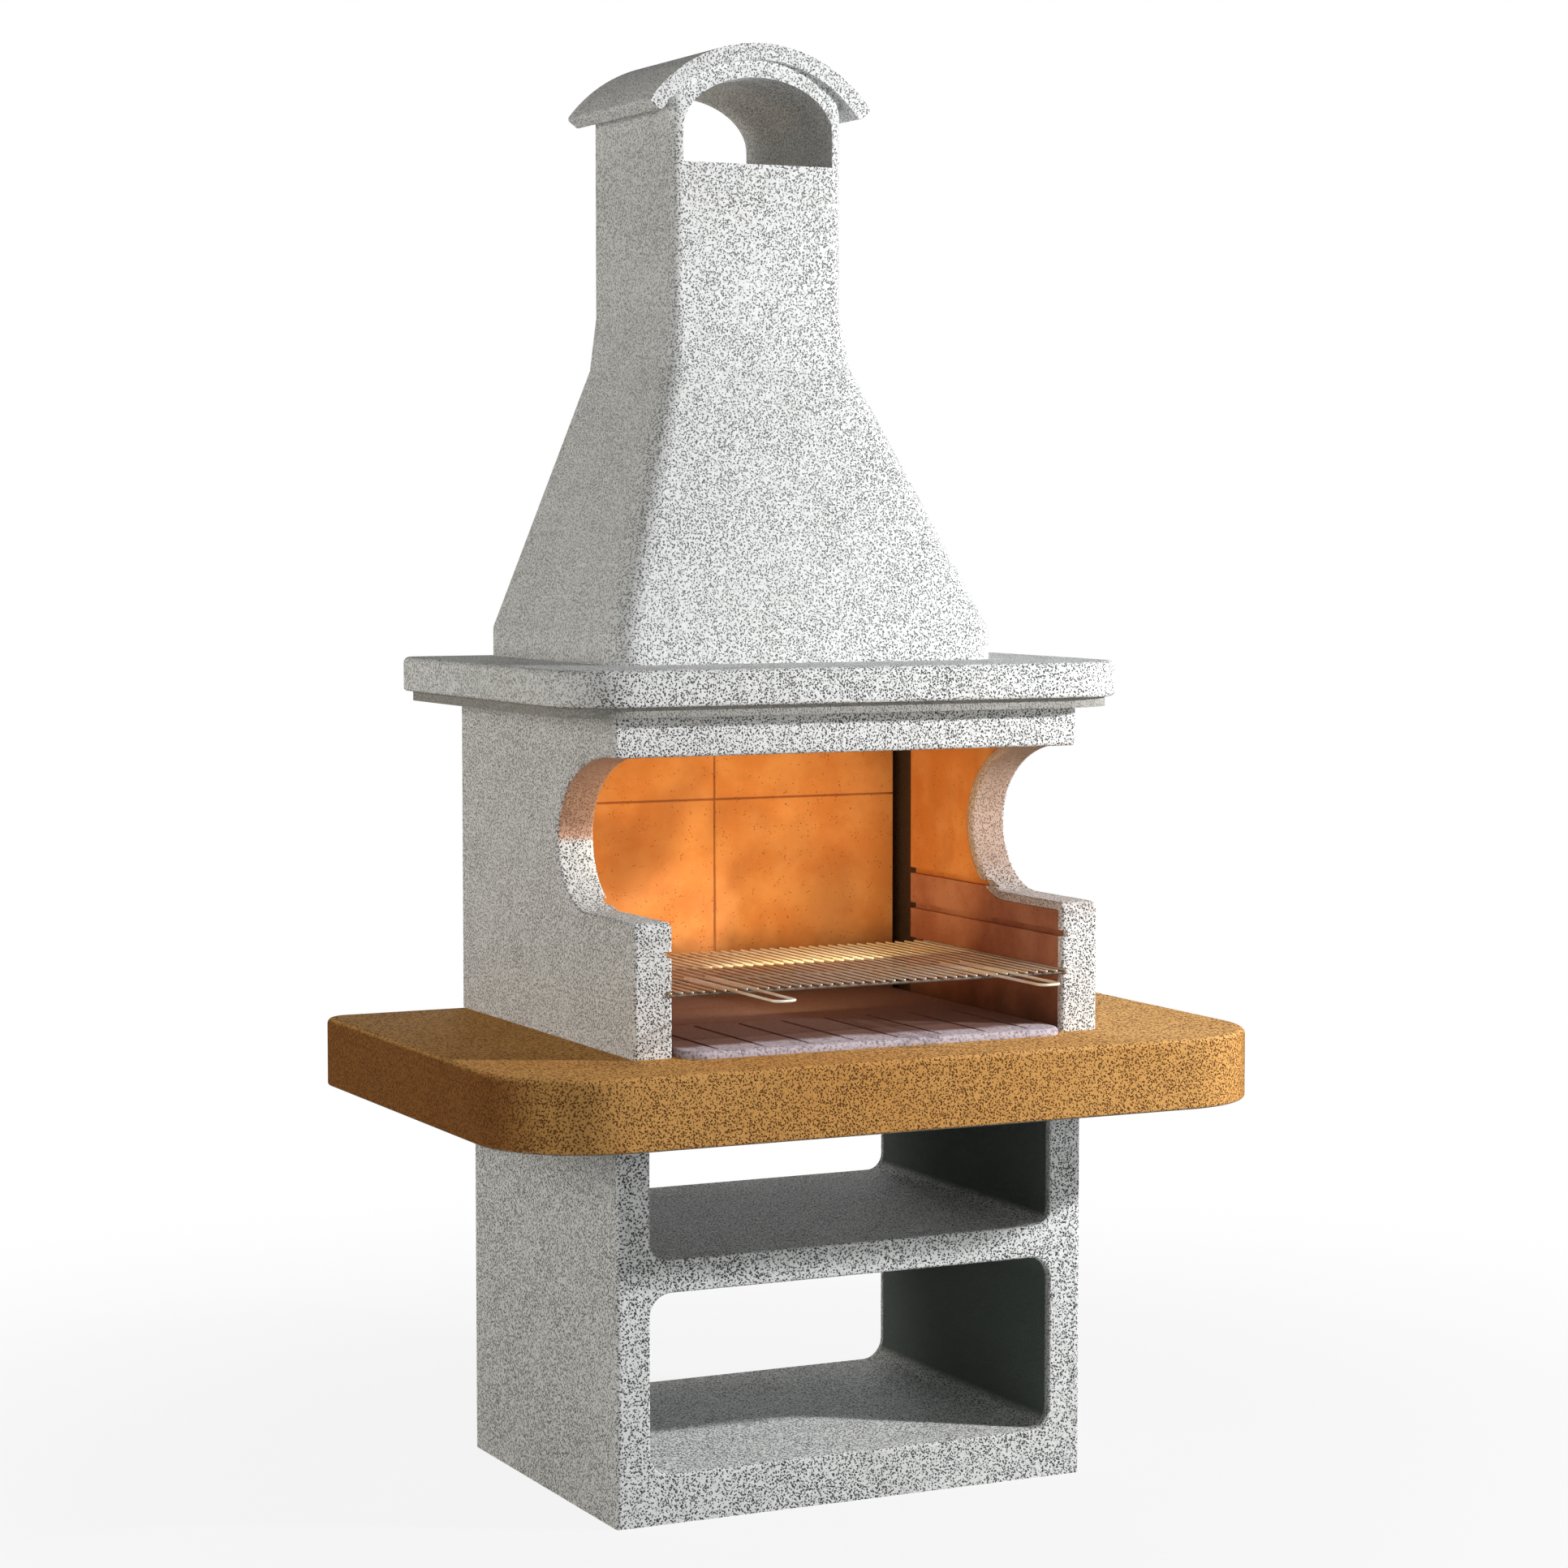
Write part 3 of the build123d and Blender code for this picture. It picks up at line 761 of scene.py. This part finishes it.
class Finishes:
    """Every finish of the barbecue, built once."""

    def __init__(self) -> None:
        """Builds the materials."""
        # The pit tints below are painted shade in the pits, and the flank pit tints are their
        # lighter painted shade on the softly lit faces towards -X.
        white = {"ridge": (246, 247, 247), "stain": (228, 225, 218)}
        # The cheeks' recess by the back tiles is darkened with sooting and painted shade.
        cheek = {"pit": (90, 90, 88), "pit_size": 0.42, "flank_pit": (176, 174, 169),
                 "sooted_and_shaded_y": (0.243, 0.402), **white}
        self.plaster = SprayedRender("white_render", pit=(142, 143, 142), **white).build()
        self.beam_plaster = SprayedRender(
            "beam_render", pit=(86, 86, 84), pit_size=0.42, **white).build()
        # The base's inner walls and ceilings are unrendered cement darkened with painted shade.
        self.base_plaster = SprayedRender(
            "base_render", pit=(76, 76, 74), pit_size=0.43, flank_pit=(146, 144, 139),
            bare_and_shaded_inside=True, bare_and_shade=(112, 120, 114), **white).build()
        # On the left cheek the warm tint above about 1.21 m is the beam's painted shadow; on the
        # right it is scorching and painted shade.
        self.left_cheek_plaster = SprayedRender(
            "left_cheek_render", scorched_and_shaded_z=(1.208, 1.228), **cheek).build()
        self.right_cheek_plaster = SprayedRender(
            "right_cheek_render", scorched_and_shaded_z=(1.04, 1.16), scorch_and_shade=(180, 147, 128),
            **cheek).build()
        # The cornice's step below its band is unrendered cement whose grey is partly painted
        # shade under the band.
        self.cornice_plaster = SprayedRender(
            "cornice_render", pit=(90, 90, 88), pit_size=0.42, bare_and_shade_below=1.4735,
            bare_and_shade=(172, 170, 165), **white).build()
        # The ochre's paler tops towards +X are painted light, and its darker end faces are
        # painted shade.
        self.ochre = SprayedRender(
            "ochre_render", ridge=(216, 162, 95), pit=(124, 80, 43), stain=(222, 196, 160),
            flank_pit=(122, 80, 42), pit_size=0.43, depth=0.0020, stain_share=0.3,
            top_pitch=0.0052, top_pit=(148, 100, 56), gloss=0.05, bare_and_shade_below=0.7262,
            painted_light_top=(236, 188, 122), painted_shade_ends=(146, 97, 52)).build()
        # Both clays darken towards the foot with sooting and painted shade, and the lower
        # panels' clay is darker still for the same reason.
        self.fired_clay = RefractoryClay(
            "fired_clay", clay=(208, 128, 62), pale=(222, 150, 84), burnt=(140, 78, 40),
            sooted_and_shaded_to_z=0.985).build()
        self.sooted_and_shaded_clay = RefractoryClay(
            "sooted_and_shaded_clay", clay=(172, 108, 78), pale=(192, 132, 100), burnt=(98, 62, 46),
            sooted_and_shaded_to_z=0.930).build()
        self.pointing = RefractoryClay(
            "fire_cement", clay=(150, 86, 48), pale=(168, 98, 56), burnt=(96, 54, 30)).build()
        # The hearth's dark brown back is a painted shadow.
        self.hearth = HearthCement(
            "hearth_cement", unshaded_cement=(206, 196, 204), pit=(136, 123, 132),
            painted_shadow=(104, 70, 57)).build()
        # The chromed wire's near-white, mostly diffuse tint is painted reflection.
        self.wire = ChromedWire(
            "chromed_wire", bright=(250, 246, 234), warmed=(244, 228, 196)).build()
        self.smoked_wire = ChromedWire(
            "smoked_wire", bright=(120, 104, 90), warmed=(82, 66, 54)).build()


def wear(obj: bpy.types.Object, finish: bpy.types.Material) -> None:
    """Gives an object one finish.

    Args:
        obj: The object.
        finish: The material.
    """
    if not obj.material_slots:
        obj.data.materials.append(finish)
    for slot in obj.material_slots:
        slot.material = finish


def mesh_object(name: str, points: np.ndarray, faces: np.ndarray) -> bpy.types.Object:
    """Puts computed points and faces into a smooth-shaded mesh object at the origin.

    Args:
        name: The object's name.
        points: N by 3 array of places in metres.
        faces: M by 4 array of point numbers, or M by 3.

    Returns:
        The object.
    """
    mesh = bpy.data.meshes.new(name)
    corners = faces.shape[1]
    mesh.vertices.add(len(points))
    mesh.vertices.foreach_set("co", points.astype(np.float32).ravel())
    mesh.loops.add(faces.size)
    mesh.loops.foreach_set("vertex_index", faces.astype(np.int32).ravel())
    mesh.polygons.add(len(faces))
    mesh.polygons.foreach_set("loop_start", np.arange(0, faces.size, corners, dtype=np.int32))
    mesh.polygons.foreach_set("use_smooth", np.ones(len(faces), dtype=bool))
    mesh.update(calc_edges=True)
    mesh.validate()
    obj = bpy.data.objects.new(name, mesh)
    bpy.context.scene.collection.objects.link(obj)
    return obj


def grid_faces(rows: int, columns: int) -> np.ndarray:
    """Four-cornered faces of a grid whose columns close on themselves.

    Args:
        rows: Points along the open direction.
        columns: Points round the closed direction.

    Returns:
        Face corners as point numbers, counter-clockwise seen from outside.
    """
    row, column = np.meshgrid(np.arange(rows - 1), np.arange(columns), indexing="ij")
    after = (column + 1) % columns
    return np.stack(
        (row * columns + column, row * columns + after,
         (row + 1) * columns + after, (row + 1) * columns + column), axis=-1).reshape(-1, 4)


def strand(name: str, loop: np.ndarray, stations: np.ndarray, across: np.ndarray,
           out: np.ndarray) -> bpy.types.Object:
    """A closed bar of one cross-section along a straight run, drawn to a point at both ends.

    Each point is station + across * loop's first value + out * loop's second value.

    Args:
        name: The object's name.
        loop: N by 2 array, the cross-section, counter-clockwise seen against the run.
        stations: M by 3 array of places along the run.
        across: Unit direction of the loop's first value.
        out: Unit direction of the loop's second value.

    Returns:
        The object.
    """
    rings = (stations[:, None, :] + loop[None, :, :1] * across + loop[None, :, 1:] * out)
    centre = loop.mean(axis=0)
    ends = stations[[0, -1]] + centre[0] * across + centre[1] * out
    first = np.broadcast_to(ends[0], rings[:1].shape)
    last = np.broadcast_to(ends[1], rings[:1].shape)
    points = np.concatenate((first, rings, last))
    return mesh_object(name, points.reshape(-1, 3), grid_faces(len(points), len(loop)))


def beads(name: str, centres: np.ndarray, radii: np.ndarray, rings: int = 5,
          sides: int = 8) -> bpy.types.Object:
    """Many small ellipsoids in one mesh.

    Each is centre + radii * (sin v cos u, sin v sin u, cos v), with u once round and v from
    just above pole to just below pole, and its poles are drawn to points.

    Args:
        name: The object's name.
        centres: N by 3 array of places in metres.
        radii: Three half-axes in metres, or one row of them for each centre.
        rings: Rows from pole to pole.
        sides: Points round.

    Returns:
        The object.
    """
    v = np.linspace(0.0, math.pi, rings)[:, None]
    u = np.arange(sides)[None, :] * (2.0 * math.pi / sides)
    unit = np.stack((np.sin(v) * np.cos(u), np.sin(v) * np.sin(u), np.cos(v) + 0.0 * u), axis=-1)
    unit = unit.reshape(-1, 3)
    spread = np.broadcast_to(radii, centres.shape)
    points = (centres[:, None, :] + unit[None, :, :] * spread[:, None, :]).reshape(-1, 3)
    shell = grid_faces(rings, sides)[:, ::-1]
    steps = np.arange(len(centres))[:, None, None] * (rings * sides)
    return mesh_object(name, points, (shell[None, :, :] + steps).reshape(-1, 4))


@dataclass
class Base:
    """The two castings of the base: wood store and shelf.

    Attributes:
        castings: The cement castings.
    """

    castings: tuple[str, ...] = ("base_ring", "base_cradle")

    def build(self, nodes: dict[str, bpy.types.Object], finishes: Finishes) -> None:
        """Dresses the base.

        Args:
            nodes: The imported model's nodes.
            finishes: The finishes.
        """
        for name in self.castings:
            wear(nodes[name], finishes.base_plaster)
            LOG.info("%s: white render", name)


@dataclass
class Worktop:
    """The ochre slab and the hearth let into it."""

    def build(self, nodes: dict[str, bpy.types.Object], finishes: Finishes) -> None:
        """Dresses the worktop and the hearth.

        Args:
            nodes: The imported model's nodes.
            finishes: The finishes.
        """
        wear(nodes["worktop"], finishes.ochre)
        wear(nodes["hearth_slab"], finishes.hearth)
        LOG.info("worktop: ochre render, hearth_slab: pale cement")


@dataclass
class FireChamber:
    """Cheeks, beam and back wall in white render, with their clay linings.

    Attributes:
        castings: The cement castings.
        sooted_and_shaded: The clay panels low by the embers, darkened with sooting and painted
            shade.
        fired: The clay panels that the flames reach.
        recess: Metres from the tiles' face back to the edge of the fire cement.
        hollow: Depth in metres of the hollow struck in it.
        bed: Metres that it reaches into the joint.
        face_points: Points across its face.
        level_points: Places along the level joint.
        upright_points: Places along the upright joint.
    """

    castings: tuple[str, ...] = ("cheek_right", "cheek_left", "back_wall", "front_beam")
    sooted_and_shaded: tuple[str, ...] = ("side_lining_lower_right", "side_lining_lower_left")
    fired: tuple[str, ...] = (
        "side_lining_upper_right", "side_lining_upper_left",
        "back_tile_lower_right", "back_tile_lower_left",
        "back_tile_upper_right", "back_tile_upper_left",
    )
    recess: float = 0.0006
    hollow: float = 0.0007
    bed: float = 0.018
    face_points: int = 9
    level_points: int = 60
    upright_points: int = 50

    def build(self, nodes: dict[str, bpy.types.Object], finishes: Finishes) -> None:
        """Dresses the chamber.

        Args:
            nodes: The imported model's nodes.
            finishes: The finishes.
        """
        plasters = (finishes.right_cheek_plaster, finishes.left_cheek_plaster,
                    finishes.plaster, finishes.beam_plaster)
        for name, plaster in zip(self.castings, plasters):
            wear(nodes[name], plaster)
            LOG.info("%s: white render", name)
        for name in self.sooted_and_shaded:
            wear(nodes[name], finishes.sooted_and_shaded_clay)
            LOG.info("%s: sooted clay", name)
        for name in self.fired:
            wear(nodes[name], finishes.fired_clay)
            LOG.info("%s: fired clay", name)
        for piece in self.pointing():
            wear(piece, finishes.pointing)
            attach(piece, Body.MASONRY.value)
            LOG.info("%s: fire cement", piece.name)

    def pointing(self) -> tuple[bpy.types.Object, ...]:
        """Fire cement in the joints of the back tiles, struck hollow.

        Across a joint the face lies at recess + hollow * (1 - s * s) behind the tiles, with s
        from -1 to 1.

        Returns:
            The cement of the level joint and of the upright one.
        """
        below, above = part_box("back_tile_lower_left"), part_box("back_tile_upper_right")
        face_y = below[0][1]
        level_z = (below[1][2] + above[0][2]) / 2.0
        joint = above[0][2] - below[1][2]
        s = np.linspace(-1.0, 1.0, self.face_points)
        front = np.stack((s * joint / 2.0, -self.recess - self.hollow * (1.0 - s * s)), axis=-1)
        loop = np.concatenate((front, np.array(((1.0, -self.bed), (-1.0, -self.bed)))
                               * np.array((joint / 2.0, 1.0))))
        out = np.array((0.0, -1.0, 0.0))
        x = np.linspace(below[0][0], above[1][0], self.level_points)
        level = np.stack((x, np.full_like(x, face_y), np.full_like(x, level_z)), axis=-1)
        z = np.linspace(below[0][2], above[1][2], self.upright_points)
        upright = np.stack((np.zeros_like(z), np.full_like(z, face_y), z), axis=-1)
        return (
            strand("level_pointing", loop, level, np.array((0.0, 0.0, 1.0)), out),
            strand("upright_pointing", loop[::-1], upright, np.array((1.0, 0.0, 0.0)), out),
        )


@dataclass
class Chimney:
    """Cornice, hood, stack and cap.

    Attributes:
        castings: The cement castings.
    """

    castings: tuple[str, ...] = ("cornice", "hood", "chimney_stack", "chimney_cap")

    def build(self, nodes: dict[str, bpy.types.Object], finishes: Finishes) -> None:
        """Dresses the chimney.

        Args:
            nodes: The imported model's nodes.
            finishes: The finishes.
        """
        for name in self.castings:
            cornice = name == "cornice"
            wear(nodes[name], finishes.cornice_plaster if cornice else finishes.plaster)
            LOG.info("%s: white render", name)


@dataclass
class Grill:
    """The chromed wire grill, with its welds and rounded bar tips.

    Attributes:
        wires: The grill's nodes.
        bar_count: How many long bars it has.
        bar_pitch: Metres from bar to bar.
        bar_radius: A bar's radius in metres.
        cross_count: How many cross bars it has.
        cross_radius: A cross bar's radius in metres.
        weld: Half of a weld's width, length and height in metres.
        bar_tip: How far a bar's tip stands out, in radii.
        cross_tip: How far a cross bar's tip stands out, in radii.
    """

    wires: tuple[str, ...] = (
        "grill_bars", "grill_cross_bars", "grill_handle_right", "grill_handle_left")
    bar_count: int = 39
    bar_pitch: float = 0.0212
    bar_radius: float = 0.002
    cross_count: int = 4
    cross_radius: float = 0.003
    weld: tuple[float, float, float] = (0.0016, 0.0019, 0.0008)
    bar_tip: float = 0.8
    cross_tip: float = 0.6

    def build(self, nodes: dict[str, bpy.types.Object], finishes: Finishes) -> None:
        """Dresses the wires, then adds the welds and the tips.

        Args:
            nodes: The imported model's nodes.
            finishes: The finishes.
        """
        for name in self.wires:
            wear(nodes[name], finishes.smoked_wire if "cross" in name else finishes.wire)
        for piece in (self.welds(), self.tips()):
            wear(piece, finishes.wire)
            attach(piece, Body.GRILL.value)
            LOG.info("%s: chrome", piece.name)

    def places(self) -> tuple[np.ndarray, np.ndarray, float]:
        """Where the wires cross.

        Returns:
            Across places of the bars, along places of the cross bars, and the height at which
            they touch.
        """
        low, high = (np.array(corner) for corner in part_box("grill_cross_bars"))
        across = (np.arange(self.bar_count) - (self.bar_count - 1) / 2.0) * self.bar_pitch
        along = np.linspace(low[1] + self.cross_radius, high[1] - self.cross_radius,
                            self.cross_count)
        return across, along, float(high[2])

    def welds(self) -> bpy.types.Object:
        """A squeezed weld at each crossing: an ellipsoid wider than it is high.

        Returns:
            The welds.
        """
        across, along, touch = self.places()
        x, y = np.meshgrid(across, along, indexing="ij")
        centres = np.stack((x, y, np.full_like(x, touch)), axis=-1).reshape(-1, 3)
        return beads("grill_welds", centres, np.array(self.weld))

    def tips(self) -> bpy.types.Object:
        """A round tip on both ends of each bar and each cross bar: half of each ball is inside.

        Returns:
            The tips.
        """
        across, along, _ = self.places()
        low, high = (np.array(corner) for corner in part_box("grill_bars"))
        bar_z = (low[2] + high[2]) / 2.0
        x, y = np.meshgrid(across, np.array((low[1], high[1])), indexing="ij")
        bars = np.stack((x, y, np.full_like(x, bar_z)), axis=-1).reshape(-1, 3)
        low, high = (np.array(corner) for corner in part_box("grill_cross_bars"))
        x, y = np.meshgrid(np.array((low[0], high[0])), along, indexing="ij")
        crosses = np.stack((x, y, np.full_like(x, (low[2] + high[2]) / 2.0)), axis=-1)
        crosses = crosses.reshape(-1, 3)
        radii = np.concatenate((
            np.tile((self.bar_radius, self.bar_radius * self.bar_tip, self.bar_radius),
                    (len(bars), 1)),
            np.tile((self.cross_radius * self.cross_tip, self.cross_radius, self.cross_radius),
                    (len(crosses), 1)),
        ))
        return beads("grill_tips", np.concatenate((bars, crosses)), radii, rings=7, sides=10)


@dataclass(frozen=True)
class Lamp:
    """A round soft lamp.

    Attributes:
        name: The lamp's name.
        place: Where it hangs, in metres.
        aim: What it points at, in metres.
        width: Its width in metres.
        power: Its power in watts.
        tint: Its linear colour.
    """

    name: str
    place: tuple[float, float, float]
    aim: tuple[float, float, float]
    width: float
    power: float
    tint: tuple[float, float, float] = (1.0, 1.0, 1.0)

    def hang(self) -> None:
        """Hangs the lamp, unseen by the camera."""
        light = bpy.data.lights.new(self.name, "AREA")
        light.shape = "DISK"
        light.size = self.width
        light.energy = self.power
        light.color = self.tint
        obj = bpy.data.objects.new(self.name, light)
        obj.location = self.place
        way = Vector(self.aim) - Vector(self.place)
        obj.rotation_euler = way.to_track_quat("-Z", "Y").to_euler()
        obj.visible_camera = False
        bpy.context.scene.collection.objects.link(obj)


@dataclass
class Studio:
    """Pale floor, white surroundings, soft lamps and the camera.

    Attributes:
        eye: Where the camera stands, in metres.
        turn: Degrees that it is turned from +Y towards +X.
        tilt: Degrees that it looks down.
        lens: Its focal length in millimetres.
        sensor: Its picture's width in millimetres.
        lamps: The lamps.
        room_light: Strength of the even light from all round.
        room_tint: Linear colour of that light.
        floor_half: Half of the floor's width in metres.
        floor_drop: Metres from the ground down to the floor, so that the two never coincide.
        floor_tint: Tint of the floor.
        shadow_keep: Share of the floor's own shading that shows near the object.
        clear_from: Metres from the middle where the floor starts to fade to white.
        clear_to: Metres from the middle where it is white.
    """

    eye: tuple[float, float, float] = (-3.1335, -6.3875, 1.7986)
    turn: float = 26.06
    tilt: float = 3.95
    lens: float = 86.79
    sensor: float = 36.0
    lamps: tuple[Lamp, ...] = (
        Lamp("key_lamp", (2.65, -2.02, 2.34), (0.0, 0.0, 1.3), 0.22, 129.0),
        Lamp("fill_lamp", (0.6, -6.9, 1.7), (0.0, 0.0, 1.3), 2.4, 91.0),
        Lamp("side_lamp", (-5.1, 0.8, 2.0), (0.0, 0.2, 1.5), 2.8, 98.0, (1.0, 0.955, 0.88)),
        Lamp("top_lamp", (0.3, -1.2, 5.2), (0.0, 0.0, 1.0), 2.6, 6.0),
        Lamp("back_lamp", (2.4, 5.6, 1.6), (0.0, 0.3, 1.4), 3.0, 120.0),
        Lamp("chamber_lamp", (0.0, -0.1, 1.12), (0.0, 0.34, 1.34), 0.5, 2.6, (1.0, 0.82, 0.46)),
    )
    room_light: float = 0.07
    room_tint: tuple[float, float, float, float] = (0.97, 1.0, 0.98, 1.0)
    floor_half: float = 9.0
    floor_drop: float = 0.0004
    floor_tint: Tint = (172, 173, 172)
    shadow_keep: float = 0.12
    clear_from: float = 0.9
    clear_to: float = 3.2

    def build(self) -> None:
        """Sets up the studio."""
        self.floor()
        self.room()
        for lamp in self.lamps:
            lamp.hang()
        self.camera()
        bpy.context.scene.view_settings.view_transform = "Standard"
        LOG.info("studio: floor, room light, %d lamps and camera", len(self.lamps))

    def floor(self) -> None:
        """A pale square floor that keeps the shadow near the object and fades to white."""
        span = self.floor_half
        points = np.array(((-span, -span, -self.floor_drop), (span, -span, -self.floor_drop),
                           (span, span, -self.floor_drop), (-span, span, -self.floor_drop)))
        obj = mesh_object("studio_floor", points, np.array(((0, 1, 2, 3),)))
        mix = Recipe("studio_floor")
        paint = mix.add("ShaderNodeBsdfDiffuse")
        mix.feed(paint, Color=linear(self.floor_tint))
        glow = mix.add("ShaderNodeEmission")
        mix.feed(glow, Color=(1.0, 1.0, 1.0, 1.0), Strength=1.0)
        reach = mix.add("ShaderNodeVectorMath", operation="LENGTH")
        mix.feed(reach, Vector=mix.place)
        share = mix.remap(reach.outputs["Value"], self.clear_from, self.clear_to,
                          1.0 - self.shadow_keep, 1.0)
        path = mix.add("ShaderNodeLightPath")
        seen = mix.math("MAXIMUM", path.outputs["Is Camera Ray"], path.outputs["Is Glossy Ray"])
        seen = mix.math("MAXIMUM", seen, path.outputs["Is Transmission Ray"])
        both = mix.add("ShaderNodeMixShader")
        mix.tree.links.new(mix.math("MULTIPLY", seen, share), both.inputs[0])
        mix.tree.links.new(paint.outputs[0], both.inputs[1])
        mix.tree.links.new(glow.outputs[0], both.inputs[2])
        output = mix.add("ShaderNodeOutputMaterial")
        mix.tree.links.new(both.outputs[0], output.inputs["Surface"])
        wear(obj, mix.material)

    def room(self) -> None:
        """White surroundings to the eye, and an even fill light on the object."""
        world = bpy.data.worlds.new("studio_room")
        world.use_nodes = True
        tree = world.node_tree
        tree.nodes.clear()
        path = tree.nodes.new("ShaderNodeLightPath")
        fill = tree.nodes.new("ShaderNodeBackground")
        fill.inputs["Color"].default_value = self.room_tint
        fill.inputs["Strength"].default_value = self.room_light
        white = tree.nodes.new("ShaderNodeBackground")
        white.inputs["Color"].default_value = (1.0, 1.0, 1.0, 1.0)
        white.inputs["Strength"].default_value = 1.0
        seen = path.outputs["Is Camera Ray"]
        for other in ("Is Glossy Ray", "Is Transmission Ray"):
            step = tree.nodes.new("ShaderNodeMath")
            step.operation = "MAXIMUM"
            tree.links.new(seen, step.inputs[0])
            tree.links.new(path.outputs[other], step.inputs[1])
            seen = step.outputs[0]
        both = tree.nodes.new("ShaderNodeMixShader")
        tree.links.new(seen, both.inputs[0])
        tree.links.new(fill.outputs[0], both.inputs[1])
        tree.links.new(white.outputs[0], both.inputs[2])
        output = tree.nodes.new("ShaderNodeOutputWorld")
        tree.links.new(both.outputs[0], output.inputs["Surface"])
        bpy.context.scene.world = world

    def camera(self) -> None:
        """The camera where the photograph was taken from."""
        lens = bpy.data.cameras.new("camera")
        lens.lens = self.lens
        lens.sensor_width = self.sensor
        obj = bpy.data.objects.new("camera", lens)
        obj.location = self.eye
        obj.rotation_euler = (math.radians(90.0 - self.tilt), 0.0, math.radians(-self.turn))
        bpy.context.scene.collection.objects.link(obj)
        bpy.context.scene.camera = obj


def main() -> None:
    """Loads the frame, builds and dresses each sub-assembly, and sets up the studio."""
    logging.basicConfig(level=logging.INFO, format="%(name)s: %(message)s")
    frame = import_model()
    nodes = frame["nodes"]
    finishes = Finishes()
    for assembly in (Base(), Worktop(), FireChamber(), Chimney(), Grill()):
        assembly.build(nodes, finishes)
    Studio().build()


if __name__ == "__main__":
    main()
